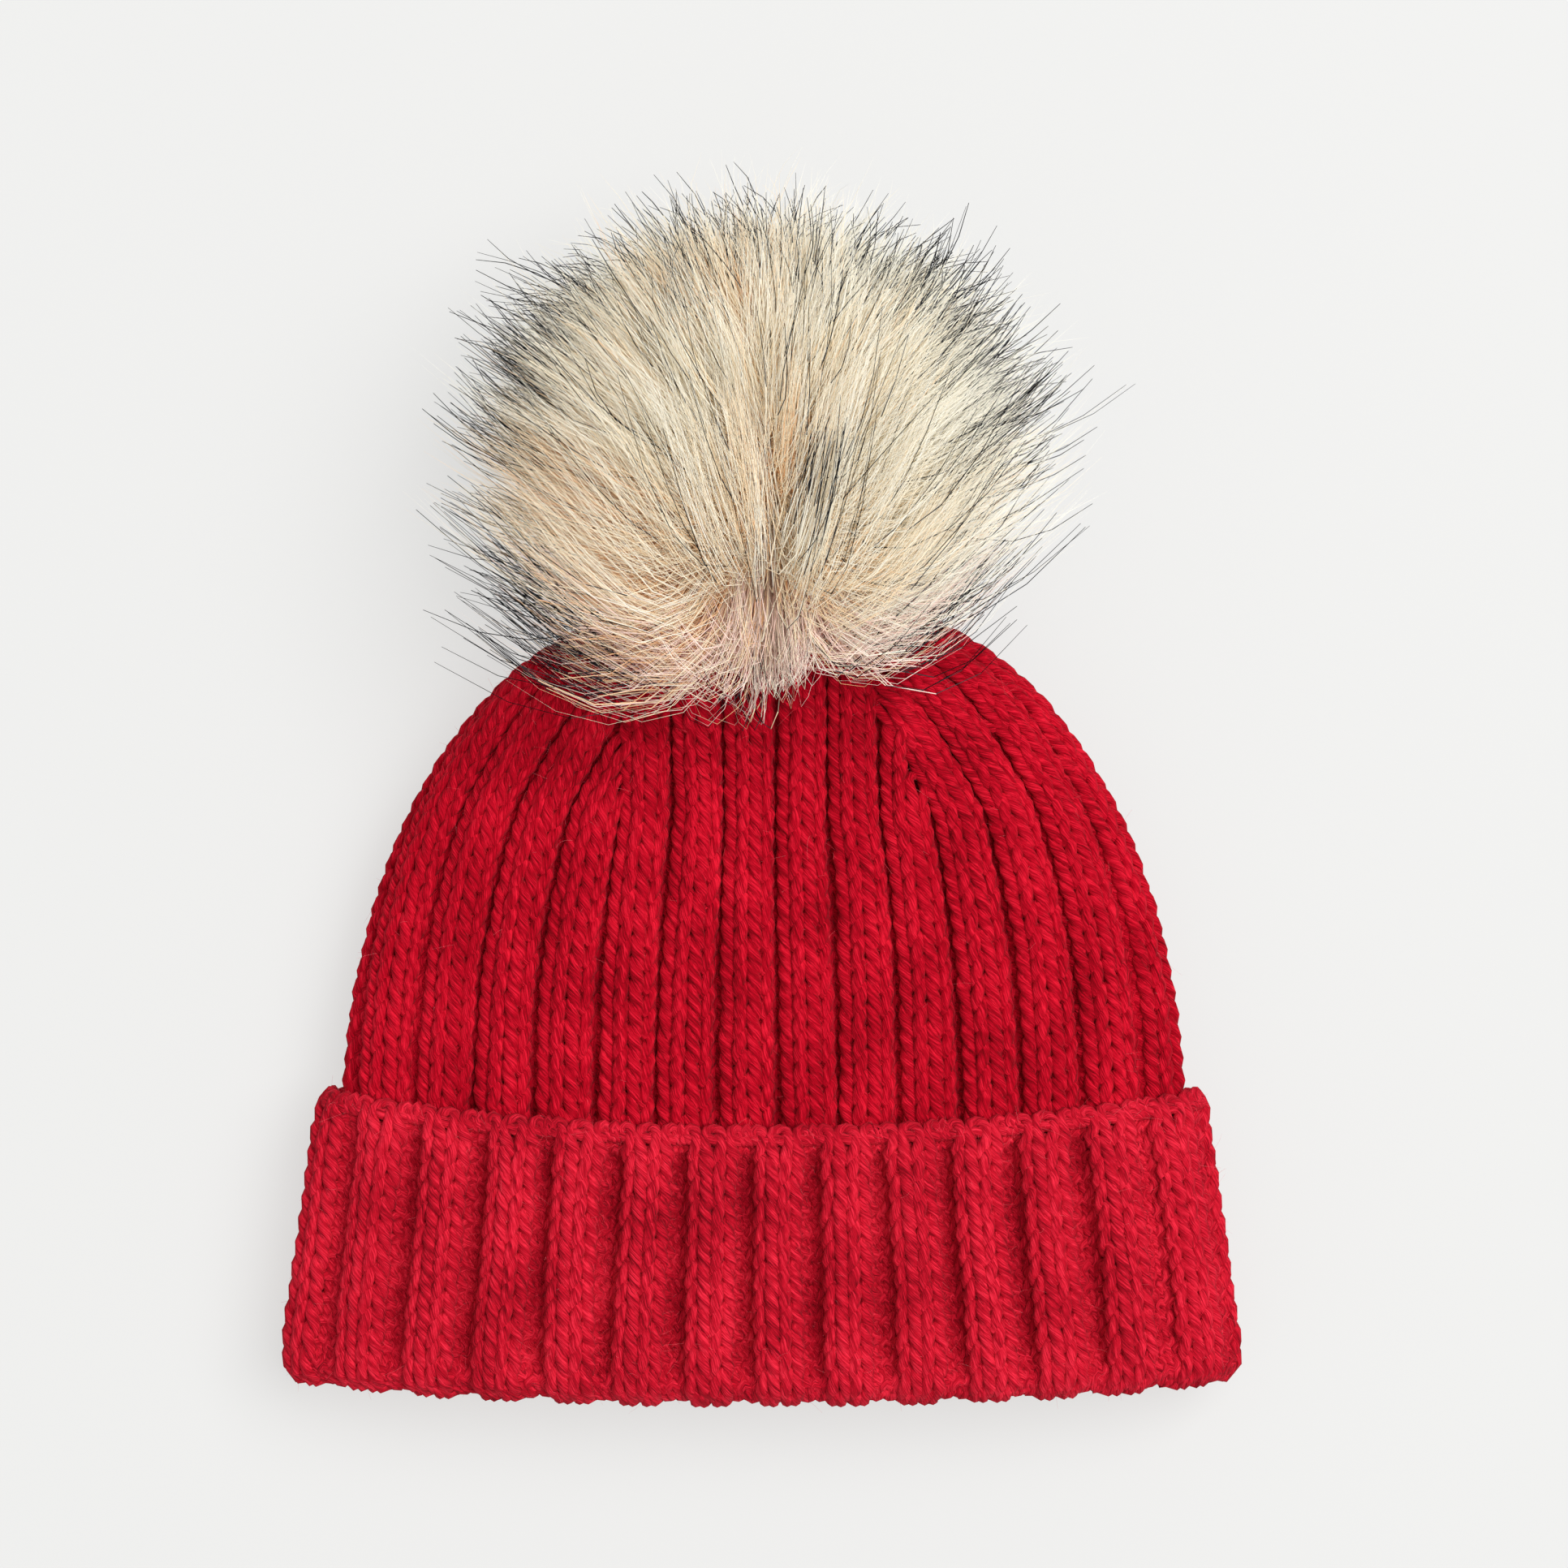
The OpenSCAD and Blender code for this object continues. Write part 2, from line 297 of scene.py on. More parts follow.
def strands(name, line, radius, random):
    """A mesh of thin three-sided tubes. line has the points of each strand, and radius one number for each point."""
    sides = 3
    count, points = line.shape[:2]
    tangent = unit(np.gradient(line, axis=1))
    side = unit(np.cross(tangent, unit(random.normal(0, 1, (count, 1, 3)))))
    up = np.cross(tangent, side)
    angle = TAU * np.arange(sides) / sides
    section = side[:, :, None] * np.cos(angle)[:, None] + up[:, :, None] * np.sin(angle)[:, None]
    verts = line[:, :, None] + radius[..., None, None] * section
    quads, _, _ = ring_quads(points, sides, points - 1)
    faces = (np.arange(count)[:, None, None] * points * sides + quads).reshape(-1, 4)
    return mesh_from(name, verts.reshape(-1, 3) * MM, faces)


class RibKnit:
    """Rows of 2x2 rib over a Cloth. A knit wale shows legs, and a purl wale shows bumps in the valley."""

    SAMPLES = 14
    SIDES = 8
    UNDER_RELIEF = 0.55
    SIDE_LOSS, SIDE_FROM, SIDE_RUN = 0.45, 0.68, 0.2
    DRIFT = 0.16
    EDGE_YARN_R = 1.2
    CROWN_YARN = 0.94

    def __init__(self, cloth, knit_from, wave, relief, edge, full_turn, seed):
        """knit_from is the first knit wale of the pattern. wave and relief are functions of the row, and edge is how
        steep the sides of the ribs are. full_turn is the half turn's length from which wales are decreased, or None."""
        self.cloth, self.knit_from, self.wave, self.relief, self.edge = cloth, knit_from, wave, relief, edge
        self.full_turn, self.random = full_turn, np.random.default_rng(seed)
        self.lean = self.random.uniform(-1, 1, (3, 2 * HALF_WALES // RIB_WALES))

    def share(self, row):
        """Share of the wales left at a row, as the crown is decreased."""
        if self.full_turn is None:
            return np.ones_like(row)
        steps = np.clip(row * Cloth.ROW_STEPS, 0, len(self.cloth.half_turn) - 1)
        length = np.interp(steps, np.arange(len(self.cloth.half_turn)), self.cloth.half_turn)
        return np.minimum(1, length / self.full_turn)

    def share_amid(self, row):
        """The same, as one number for the middle of a row."""
        return float(self.share(np.array([row + 0.5]))[0])

    def wales(self, row):
        """Wales present in a row around both halves, in order."""
        share = self.share_amid(row)
        outer = max(1, round(SIDE_WALES * share))
        middle = max(1, round(CENTRE_WALES / 2 * share))
        half = HALF_WALES // 2
        top = [*range(outer), *range(half - middle, half + middle), *range(HALF_WALES - outer, HALF_WALES)]
        return np.array(top + [w + HALF_WALES for w in top])

    def place(self, row, wale, lift):
        """Points and normals on the ribbed surface, lift above its middle."""
        phase = TAU * (wale - self.knit_from - 1) / RIB_WALES
        wave, relief = self.wave(row), self.relief(row)
        under = wale > HALF_WALES
        # The ribs are shallower underneath, and at the sides where the fabric turns sharply
        at_side = np.abs(np.mod(wale, HALF_WALES) / (HALF_WALES / 2) - 1)
        relief = relief * np.where(under, self.UNDER_RELIEF, 1.0)
        relief = relief * (1 - self.SIDE_LOSS * ease((at_side - self.SIDE_FROM) / self.SIDE_RUN))
        rib = np.clip((np.floor((wale - self.knit_from + 1) / RIB_WALES)).astype(int), 0, self.lean.shape[1] - 1)
        drift = self.DRIFT * np.sin(row / 3.1 + 9 * self.lean[0, rib]) * self.lean[1, rib]
        eased = wale + wave * np.sin(phase) + drift
        share = self.share(row)
        half_wale = np.mod(eased, HALF_WALES)
        half_index = np.floor(eased / HALF_WALES)
        home = np.mod(np.floor(wale + 1e-6), HALF_WALES)
        # As wales are decreased, those left close up to the two sides and to the centre line
        turn = np.select([home < SIDE_WALES, home < HALF_WALES - SIDE_WALES],
                         [half_wale / HALF_WALES / share, 0.5 + (half_wale - HALF_WALES / 2) / HALF_WALES / share],
                         1 - (HALF_WALES - half_wale) / HALF_WALES / share)
        at, around, normal, length = self.cloth.at(row, turn + half_index)
        pitch = length / HALF_WALES / share
        forward = pitch * (1 + wave * TAU / RIB_WALES * np.cos(phase))
        crest = np.tanh(self.edge * np.cos(phase))
        slope = relief * TAU / RIB_WALES * np.sin(phase) * self.edge * (1 - crest**2) / math.tanh(self.edge)
        facing = unit(around * slope[:, None] + normal * forward[:, None])
        return at + normal * (relief * crest / math.tanh(self.edge))[:, None] + facing * lift[:, None], facing

    def row_line(self, row):
        """Centreline and facing of one course of yarn, loop by loop."""
        wales = self.wales(row)
        count = len(wales)
        tau = np.tile(np.arange(self.SAMPLES) / self.SAMPLES, count)
        wale = np.repeat(wales, self.SAMPLES).astype(float)
        knit = np.where(np.mod(wales - self.knit_from, RIB_WALES) < 2, 1.0, -1.0)
        before, after = np.roll(knit, 1), np.roll(knit, -1)
        sign = np.repeat(knit, self.SAMPLES)
        sign_in = np.repeat((knit + before) / 2, self.SAMPLES)
        sign_out = np.repeat((knit + after) / 2, self.SAMPLES)
        sign = sign + (sign_in - sign) * (1 - ease(tau / 0.22)) + (sign_out - sign) * ease((tau - 0.78) / 0.22)
        jitter = np.repeat(self.random.normal(0, 1, (3, count)), self.SAMPLES, axis=1)
        swell = np.sin(math.pi * tau)
        sway = LOOP_SWAY * np.sin(2 * TAU * tau)
        reach = -LOOP_REACH * np.cos(TAU * tau) + 0.05 * jitter[0] * swell
        depth = STITCH_DEPTH * (0.95 + 0.05 * sign)
        lift = -sign * depth * np.cos(2 * TAU * tau) + 0.12 * jitter[1] * swell
        line, facing = self.place(row + 0.5 + reach, wale + tau + sway + 0.03 * jitter[2] * swell, lift)
        return line, facing, 1.0 - 0.06 * np.cos(2 * TAU * tau)

    def cast_on(self, tubes, strip):
        """Two strands wound about each other along the first row's edge."""
        wale = np.arange(2 * HALF_WALES * self.SAMPLES) / self.SAMPLES
        for strand in (0, 1):
            angle = TAU * (wale + strand / 2)
            row = 0.02 + 0.09 * np.sin(angle) + np.zeros_like(wale)
            line, facing = self.place(row, wale, 0.35 * np.cos(angle))
            line[:, 2] = np.maximum(line[:, 2], self.EDGE_YARN_R)
            tubes.add(line, facing, self.EDGE_YARN_R, self.SIDES, strip + strand)

    def knit(self, tubes, rows, first_strip=0):
        """One tube for each row, kept off the surface that the hat lies on. The decreased rows have thinner yarn."""
        for row in rows:
            line, facing, swelling = self.row_line(row)
            line[:, 2] = np.maximum(line[:, 2], YARN_R * swelling)
            finer = self.CROWN_YARN if self.share_amid(row) < 1 else 1.0
            tubes.add(line, facing, YARN_R * swelling * finer, self.SIDES, first_strip + row)


# ---------- Materials ----------


def node(tree, kind, inputs=None, **settings):
    """A shader node with its settings, and its inputs set or linked by name or index."""
    made = tree.nodes.new(kind)
    for key, value in settings.items():
        setattr(made, key, value)
    for key, value in (inputs or {}).items():
        if isinstance(value, bpy.types.NodeSocket):
            tree.links.new(value, made.inputs[key])
        else:
            made.inputs[key].default_value = value
    return made


def maths(tree, operation, a, b=0.0):
    """Output of a sum on one or two values or sockets."""
    return node(tree, "ShaderNodeMath", {0: a, 1: b}, operation=operation).outputs[0]


def times(tree, a, b):
    """Output of a product."""
    return maths(tree, "MULTIPLY", a, b)


def noise_over(tree, vector, scale, detail=2.0, roughness=0.5):
    """Output of a noise texture."""
    return node(tree, "ShaderNodeTexNoise", {"Vector": vector, "Scale": scale, "Detail": detail,
                                             "Roughness": roughness}).outputs[0]


def ramp(tree, factor, stops):
    """Output of a colour ramp. stops has (position, colour) in rising order."""
    made = node(tree, "ShaderNodeValToRGB", {0: factor})
    elements = made.color_ramp.elements
    while len(elements) < len(stops):
        elements.new(0.5)
    for element, (position, colour) in zip(elements, stops):
        element.position = position
        element.color = (*colour, 1)
    return made.outputs[0]


def surface(name, colour, roughness, **extra):
    """A new material with its Principled node. extra sets the node's inputs by name, with _ for a space."""
    material = bpy.data.materials.new(name)
    material.use_nodes = True
    shader = material.node_tree.nodes["Principled BSDF"]
    shader.inputs["Base Color"].default_value = (*colour, 1)
    shader.inputs["Roughness"].default_value = roughness
    for key, value in extra.items():
        shader.inputs[key.replace("_", " ")].default_value = value
    return material, material.node_tree, shader


def colour_and_bump(tree, shader, factor, stops, height, distance):
    """Links a Principled node's colour to a ramp over factor, and its normal to a bump as deep as distance."""
    tree.links.new(ramp(tree, factor, stops), shader.inputs["Base Color"])
    bump = node(tree, "ShaderNodeBump", {"Height": height, "Strength": 1.0, "Distance": distance})
    tree.links.new(bump.outputs[0], shader.inputs["Normal"])


def yarn_material(name, dark, mid, bright):
    """Plied yarn: fibres and plies that wind about the strand, read from the yarn UV."""
    plies, twist_per_metre = 3, 520.0
    material, tree, shader = surface(name, mid, 0.85, Sheen_Weight=0.08, Sheen_Roughness=0.45,
                                     Sheen_Tint=(1.0, 0.20, 0.24, 1), Specular_IOR_Level=0.05)
    uv = node(tree, "ShaderNodeUVMap", uv_map="yarn").outputs[0]
    split = node(tree, "ShaderNodeSeparateXYZ", {0: uv})
    along, around = split.outputs[0], split.outputs[1]
    angle = maths(tree, "ADD", times(tree, around, TAU), times(tree, along, twist_per_metre))
    wound = node(tree, "ShaderNodeCombineXYZ", {0: times(tree, along, 90.0),
                                                1: maths(tree, "COSINE", angle), 2: maths(tree, "SINE", angle)})
    fibre = noise_over(tree, wound.outputs[0], 4.4, 3.0, 0.6)
    place = node(tree, "ShaderNodeTexCoord").outputs["Object"]
    cloud = noise_over(tree, place, 55.0)
    ply = maths(tree, "ABSOLUTE", maths(tree, "SINE", times(tree, angle, plies / 2)))
    tone = maths(tree, "ADD", times(tree, fibre, 0.75), times(tree, cloud, 0.25))
    # The tone drops a little along the grooves between the plies and rises on their crowns: painted shade in the
    # grooves.
    tone = maths(tree, "ADD", tone, times(tree, maths(tree, "SUBTRACT", ply, 0.6), 0.09))
    height = maths(tree, "ADD", times(tree, ply, 0.4), fibre)
    colour_and_bump(tree, shader, tone, [(0.34, dark), (0.5, mid), (0.66, bright)], height, 0.00034)
    return material


RED_YARN = yarn_material("red_yarn", (0.14, 0.0003, 0.003), (0.37, 0.0008, 0.010), (0.68, 0.010, 0.030))
# The cuff's yarn is the body's red yarn painted lighter and pinker: painted light, for the brighter light that the cuff
# catches.
CUFF_YARN_PAINTED_LIGHTER = yarn_material("cuff_yarn_painted_lighter", (0.16, 0.0015, 0.006), (0.43, 0.004, 0.016), (0.74, 0.022, 0.048))

# ---------- The hat ----------


def make_cuff():
    """The turned-up cuff, from its cast-on edge, down, round the fold and a little way up inside."""
    mid = WALL / 2
    bend = LAYER / 2
    straight = CUFF_H - bend - mid + 0.6
    turn_in = math.pi * bend
    rows = int((straight + turn_in + 4) / ROW_PITCH)
    rings = []
    for i in range(-Cloth.ROW_STEPS, (rows + 1) * Cloth.ROW_STEPS + 1):
        run = i / Cloth.ROW_STEPS * ROW_PITCH
        angle = np.clip((run - straight) / bend, 0, math.pi)
        inside = max(0.0, run - straight - turn_in)
        down = min(run, straight) + bend * math.sin(angle) - inside
        rolled = -1.0 * (1 - ease(run / 6)) ** 2 + 0.25 * max(0.0, -run)
        rings.append(cuff_ring(down, mid + bend * (1 - math.cos(angle)) + rolled))
    cloth = Cloth(rings, -1, lead=1)
    knit = RibKnit(cloth, knit_from=0, wave=lambda row: 0.15 + 0.24 * (1 - ease(row / 2.0)),
                   relief=lambda row: 3.4 - 3.0 * (1 - ease(row / 1.4)) - 2.9 * ease((row - 10.0) / 2.2),
                   edge=1.9, full_turn=None, seed=11)
    tubes = Tubes(rows + 2)
    knit.knit(tubes, range(rows))
    knit.cast_on(tubes, rows)
    cuff = tubes.build("cuff_knit", CUFF_YARN_PAINTED_LIGHTER)
    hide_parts("turn_up_cuff")
    return cuff


def row_stations(start, end):
    """Stations at every row step, a row pitch apart between the middle and the edge of the hat."""
    stations = np.linspace(start, end, 2000)
    edge = np.array([outline(t) for t in stations])
    middle = edge[:, 1] - np.array([ring_bow(t) for t in stations])
    run = (np.hypot(np.diff(edge[:, 0]), np.diff(edge[:, 1])) + np.abs(np.diff(middle))) / 2
    run = running(run)
    rows = int(run[-1] / ROW_PITCH)
    return rows, np.interp(np.arange(rows * Cloth.ROW_STEPS + 1) / Cloth.ROW_STEPS * ROW_PITCH, run, stations)


def make_body():
    """The body and the crown as one run of rows, split into two pieces where the decreases start."""
    rows, stations = row_stations(-0.93, 0.985)
    rings = []
    for t in stations:
        half_w, middle, half_h, y, bow = body_ring(t, WALL / 2)
        # The cuff presses the body's upper side down, so that it stays under the cuff's valleys
        pressed = 2.1 * (1 - ease((t + 0.16) / 0.16)) * ease((t + 0.95) / 0.2)
        rings.append((half_w, middle - pressed, half_h - pressed, y, bow))
    cloth = Cloth(rings, 1)
    row_at = np.arange(len(stations)) / Cloth.ROW_STEPS
    start_row = float(np.interp(DECREASE_STATION, stations, row_at))
    cuff_row = float(np.interp(0, stations, row_at))
    full_turn = float(np.interp(start_row, row_at, cloth.half_turn))

    def relief(row):
        """The ribs stand up as they leave the cuff, and flatten again over the crown."""
        return 0.5 + 2.2 * ease((row - cuff_row + 1.5) / 2.5) - 1.1 * ease((row - start_row - 4) / 8)

    knit = RibKnit(cloth, knit_from=2, wave=lambda row: 0.15 + 0.33 * ease((row - cuff_row + 4) / 4),
                   relief=relief, edge=1.5, full_turn=full_turn, seed=23)
    split = int(start_row)
    pieces = []
    for name, first, last, replaced in (("body_knit", 0, split, "knit_body"),
                                        ("crown_knit", split, rows - 1, "knit_crown")):
        tubes = Tubes(last - first)
        knit.knit(tubes, range(first, last), first_strip=-first)
        piece = tubes.build(name, RED_YARN)
        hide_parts(replaced)
        pieces.append(piece)
    return pieces


def make_fuzz(knits):
    """Loose fibres that stand off the yarn. knits has (piece, how many fibres)."""
    random = np.random.default_rng(41)
    material, _, _ = surface("red_fibre", (0.72, 0.05, 0.07), 0.6, Sheen_Weight=0.3)
    made = []
    for knit, count in knits:
        places = np.empty(len(knit.data.vertices) * 3, np.float32)
        knit.data.vertices.foreach_get("co", places)
        places = places.reshape(-1, 3) / MM
        chosen = random.integers(0, len(places), count)
        facing = np.array([knit.data.vertices[int(i)].normal for i in chosen])
        root = places[chosen]
        away = unit(facing + random.normal(0, 0.75, (count, 3)))
        long = np.minimum(9.0, random.lognormal(0.95, 0.45, count))[:, None, None]
        t = np.linspace(0, 1, 5)[None, :, None]
        curl = unit(random.normal(0, 1, (count, 1, 3)))
        line = root[:, None] + away[:, None] * long * t
        line = line + curl * long * 0.55 * t**2 - np.array([0, 0, 0.25]) * long * t**2
        line[..., 2] = np.maximum(line[..., 2], 0.1)
        radius = 0.032 * (1 - 0.6 * t[..., 0]) * random.uniform(0.7, 1.3, (count, 1))
        name = knit.name + "_fuzz"
        made.append(link(name, strands(name, line, radius, random), material))
    return made


# ---------- Fur ----------

CORE_R = (CORE_HIGH[0] - CORE_LOW[0]) / 2
CORE = np.array([0, CORE_HIGH[1] - CORE_R, (CORE_LOW[2] + CORE_HIGH[2]) / 2])
PILE_CENTRE = CORE + [0, -16, 4]
PILE = np.array([68.0, 60.0, 57.0])
NECK_ANGLE = 0.40
# The hair parts at a point above the neck, and is combed away from it all round
PART_TILT = 0.58
PART = np.array([0.06, -math.cos(PART_TILT), math.sin(PART_TILT)])

# Tones of the hair, from palest to warmest, a pink that paints red light reflected from the knit, then the dark ones
TONES = {
    "ivory": (0.99, 0.95, 0.82), "cream": (0.99, 0.91, 0.72), "oat": (0.99, 0.86, 0.64), "sand": (0.99, 0.78, 0.52),
    "peach": (0.99, 0.68, 0.41), "apricot": (0.98, 0.57, 0.29), "tan": (0.82, 0.50, 0.29),
    "red_reflection_pink": (0.99, 0.76, 0.67), "taupe": (0.58, 0.45, 0.37), "umber": (0.30, 0.20, 0.15),
    "slate": (0.04, 0.042, 0.047), "black": (0.004, 0.004, 0.006),
}
TONE = {name: i for i, name in enumerate(TONES)}
PALE_TO_WARM = np.array([TONE[name] for name in ("ivory", "cream", "oat", "sand", "peach", "apricot", "tan")])


def facing_from(theta, phi):
    """Directions from the core: theta is the angle from the pole that faces the hat, and phi the turn about the pom's
    axis from straight up."""
    return np.stack([np.sin(theta) * np.sin(phi), -np.cos(theta), np.sin(theta) * np.cos(phi)], -1)


def crown_top(x, y):
    """Height of the crown's upper surface with room for its yarn, and 0 beside it."""
    yarn_room = 2.2
    stations = np.linspace(0.2, 0.985, 120)
    rings = np.array([body_ring(t, 0.0) for t in stations])
    line_y = rings[:, 3] - rings[:, 4]
    half_w, middle, half_h = (np.interp(y, line_y, rings[:, i]) for i in range(3))
    across = np.clip(np.abs(x) / half_w, 0, 1)
    return np.where((across < 1) & (y < line_y[-1]), middle + half_h * np.sqrt(1 - across**4) + yarn_room, 0.0)


def patches(direction, seed, waves=7, reach=3.2):
    """Smooth random field over directions, about -1 to 1."""
    random = np.random.default_rng(seed)
    field = 0
    for _ in range(waves):
        field = field + np.sin(direction @ random.normal(0, reach, 3) + random.uniform(0, TAU))
    return field / math.sqrt(waves)


class Pile:
    """Hairs gathered into one mesh of thin three-sided tubes, with a tone for each stretch of each hair."""

    POINTS = 7

    def __init__(self, seed):
        self.random = np.random.default_rng(seed)
        self.lines, self.radii, self.tones = [], [], []

    def add(self, root, knee, tip, radius, tones, wander, blunt):
        """Hairs that leave root, bend at knee and end at tip, laid on the crown and on the surface beside it. tones has
        one tone for each stretch of each hair, and blunt is 1 for the hairs that stay thick to the tip."""
        t = np.linspace(0, 1, self.POINTS)[None, :, None]
        line = (1 - t) ** 2 * root[:, None] + 2 * (1 - t) * t * knee[:, None] + t**2 * tip[:, None]
        drift = self.random.normal(0, wander, (len(root), 1, 3)) * np.sin(math.pi * t) * t
        drift = drift + self.random.normal(0, wander * 0.35, (len(root), 1, 3)) * np.sin(TAU * t)
        line = line + drift
        over_crown = crown_top(line[..., 0], line[..., 1])
        floor = over_crown + 0.4 + self.random.uniform(0, 2.2, (len(root), 1)) * t[..., 0]
        sunk = np.maximum(0, floor - line[..., 2])
        outward = unit((line - CORE) * [1, 1, 0])
        on_floor = (over_crown <= 0)[..., None]
        line = line + outward * (sunk * 0.4)[..., None] * on_floor
        line[..., 2] += sunk
        taper = 1 - (0.88 - 0.38 * blunt[:, None]) * np.linspace(0, 1, self.POINTS) ** (2.2 + 2 * blunt[:, None])
        self.lines.append(line)
        self.radii.append(radius[:, None] * (1 + 0.55 * blunt[:, None]) * taper)
        self.tones.append(tones)

    def build(self, name):
        """One object of all the hairs, with a material for each tone."""
        line, radius, tones = (np.concatenate(x) for x in (self.lines, self.radii, self.tones))
        mesh = strands(name, line, radius, self.random)
        mesh.polygons.foreach_set("material_index", np.repeat(tones, 3, axis=1).astype(np.int32).ravel())
        return link(name, mesh, *map(hair_material, TONES))


def hair_material(tone):
    """One tone of hair: silky, with a gloss that varies along the strands."""
    material, tree, shader = surface("hair_" + tone, TONES[tone], 0.5,
                                     Specular_IOR_Level=0.02 if tone in ("slate", "black") else 0.35)
    place = node(tree, "ShaderNodeTexCoord").outputs["Object"]
    noise = noise_over(tree, place, 900.0)
    spread = node(tree, "ShaderNodeMapRange", {0: noise, 1: 0.3, 2: 0.7, 3: 0.36, 4: 0.66})
    tree.links.new(spread.outputs[0], shader.inputs["Roughness"])
    return material


def combed(root):
    """Directions of the tips for directions of the roots: each is turned away from the parting."""
    from_part = np.arccos(np.clip(root @ PART, -1, 1))
    away = unit(root - PART * np.cos(from_part)[:, None])
    turned = from_part + 0.85 * ease(from_part / 0.25) * (1 - ease((from_part - 0.6) / 2.4))
    return np.cos(turned)[:, None] * PART + np.sin(turned)[:, None] * away


def make_pile():
    """The pom's pile: a short wool close to the core, locks of long hair over it, and guard hairs with dark tips."""
    pile = Pile(5)
    random = np.random.default_rng(71)
    locks = 1500
    share = (np.arange(locks) + 0.5) / locks
    lock_theta = np.arccos(math.cos(NECK_ANGLE) - share * (1 + math.cos(NECK_ANGLE)))
    lock_phi = np.mod(np.arange(locks) * math.pi * (3 - math.sqrt(5)), TAU)
    lock_theta += random.normal(0, 0.03, locks)
    lock_phi += random.normal(0, 0.03, locks) / np.sin(lock_theta)
    lock_root = facing_from(lock_theta, lock_phi)
    lock_tip = unit(combed(lock_root) + random.normal(0, 0.075, (locks, 3)))
    lock_length = 1 + random.normal(0, 0.055, locks)
    # Warmer towards the left and the hat, and darker at the tips round the rim
    warm = 0.9 * patches(lock_tip, 3) + 0.55 * random.normal(0, 1, locks) - 0.5 * lock_tip[:, 0] - 0.9 * lock_tip[:, 1]
    rim = 1 - np.abs(lock_tip[:, 2])
    dark = 0.6 * patches(lock_tip, 8, reach=4.5) + 1.6 * rim - lock_tip @ [0.05, 0.5, 0]
    dark = ease((dark + random.normal(0, 0.55, locks) - 1.4) / 0.6)

    def hairs(per_lock, low, high, width, spread, shift, darkness, wander, dark_run=(3, 4)):
        """One kind of hair in every lock. low and high bound its reach, 1 at the pile's surface. spread is how far a
        lock opens, darkness the chance of a dark tip, and dark_run where along the hair the dark starts."""
        count = locks * per_lock
        lock = np.repeat(np.arange(locks), per_lock)
        theta = np.clip(lock_theta[lock] + random.normal(0, 0.06, count), NECK_ANGLE - 0.05, math.pi - 0.01)
        phi = lock_phi[lock] + random.normal(0, 0.06, count) / np.sin(theta)
        facing = facing_from(theta, phi)
        root = CORE + (CORE_R - 0.5) * facing
        end = unit(lock_tip[lock] + (facing - lock_root[lock]) * spread + random.normal(0, 0.017, (count, 3)))
        over_crown = ease((-end[:, 1] - 0.6) / 0.3)
        reach = lock_length[lock] * random.uniform(low, high, count)
        short = 0.86 - 0.34 * np.clip(end[:, 0] / 0.45, 0, 1)
        reach = reach * (1 - over_crown) + np.minimum(reach, 1.0) * short * over_crown
        reach *= 1 - 0.12 * ease((end[:, 0] - 0.2) / 0.4) * ease((-end[:, 1] - 0.05) / 0.3)
        tip = PILE_CENTRE + PILE * end * reach[:, None]
        long = np.linalg.norm(tip - root, axis=1, keepdims=True)
        knee = root + facing * long * 0.42 + (tip - root) * 0.12
        # By the parting the hair first leans out over the crown tip
        lean = 1 - ease((np.arccos(np.clip(facing @ PART, -1, 1)) - 0.1) / 0.9)
        knee += lean[:, None] * [0, -46, 10]
        stretches = Pile.POINTS - 1
        tone = 1.7 + 1.5 * warm[lock] + random.normal(0, 0.85, count)
        along = np.arange(stretches) / (stretches - 1)
        tone = tone[:, None] + np.interp(along, [0, 0.3, 1], [1.4, 0.5, -0.6])[None]
        tone = tone + random.normal(0, 0.35, (count, stretches))
        tones = PALE_TO_WARM[np.clip(np.round(tone + shift), 0, len(PALE_TO_WARM) - 1).astype(int)]
        # Half the hairs whose tips lie over the crown turn pink past their first stretch: painted red light reflected
        # from the knit.
        red_reflection_tips = (tip[:, 1] < TIP[1] + 12) & (random.random(count) < 0.5)
        tones[red_reflection_tips, 1:] = TONE["red_reflection_pink"]
        # Along the parting half the hairs get umber or taupe on their first three stretches: partly the hair's own
        # brownish roots, partly painted shade in the deep parting.
        parting = (lean > 0.7) & (np.abs(end[:, 0]) < 0.2) & (random.random(count) < 0.5)
        tones[parting, :3] = np.where(random.random((parting.sum(), 1)) < 0.3, TONE["umber"], TONE["taupe"])
        tipped = random.random(count) < darkness(dark[lock])
        first = random.integers(dark_run[0], dark_run[1] + 1, count)
        for k in range(stretches):
            deep = np.where(k >= first + 1, TONE["black"], TONE["slate"])
            tones[:, k] = np.where(tipped & (k >= first), deep, tones[:, k])
        pile.add(root, knee, tip, width * random.uniform(0.75, 1.25, count), tones, wander, tipped.astype(float))

    hairs(5, 0.50, 0.74, width=0.26, spread=1.0, shift=0.6, darkness=lambda d: 0 * d, wander=1.6)
    hairs(17, 0.78, 1.0, width=0.10, spread=0.3, shift=0.0, darkness=lambda d: 0.004 + 0.5 * d**2, wander=1.4,
          dark_run=(4, 5))
    hairs(4, 1.0, 1.16, width=0.085, spread=0.5, shift=-0.4, darkness=lambda d: 0.08 + 0.85 * d, wander=1.6)
    hairs(1, 0.95, 1.12, width=0.075, spread=1.0, shift=0.0, darkness=lambda d: 0.25 + 0 * d, wander=2.2,
          dark_run=(1, 3))
    fur = pile.build("fur_pile")
    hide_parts("pom_fur")
    return fur


# ---------- Seam, label, press stud and the inside of the pom ----------


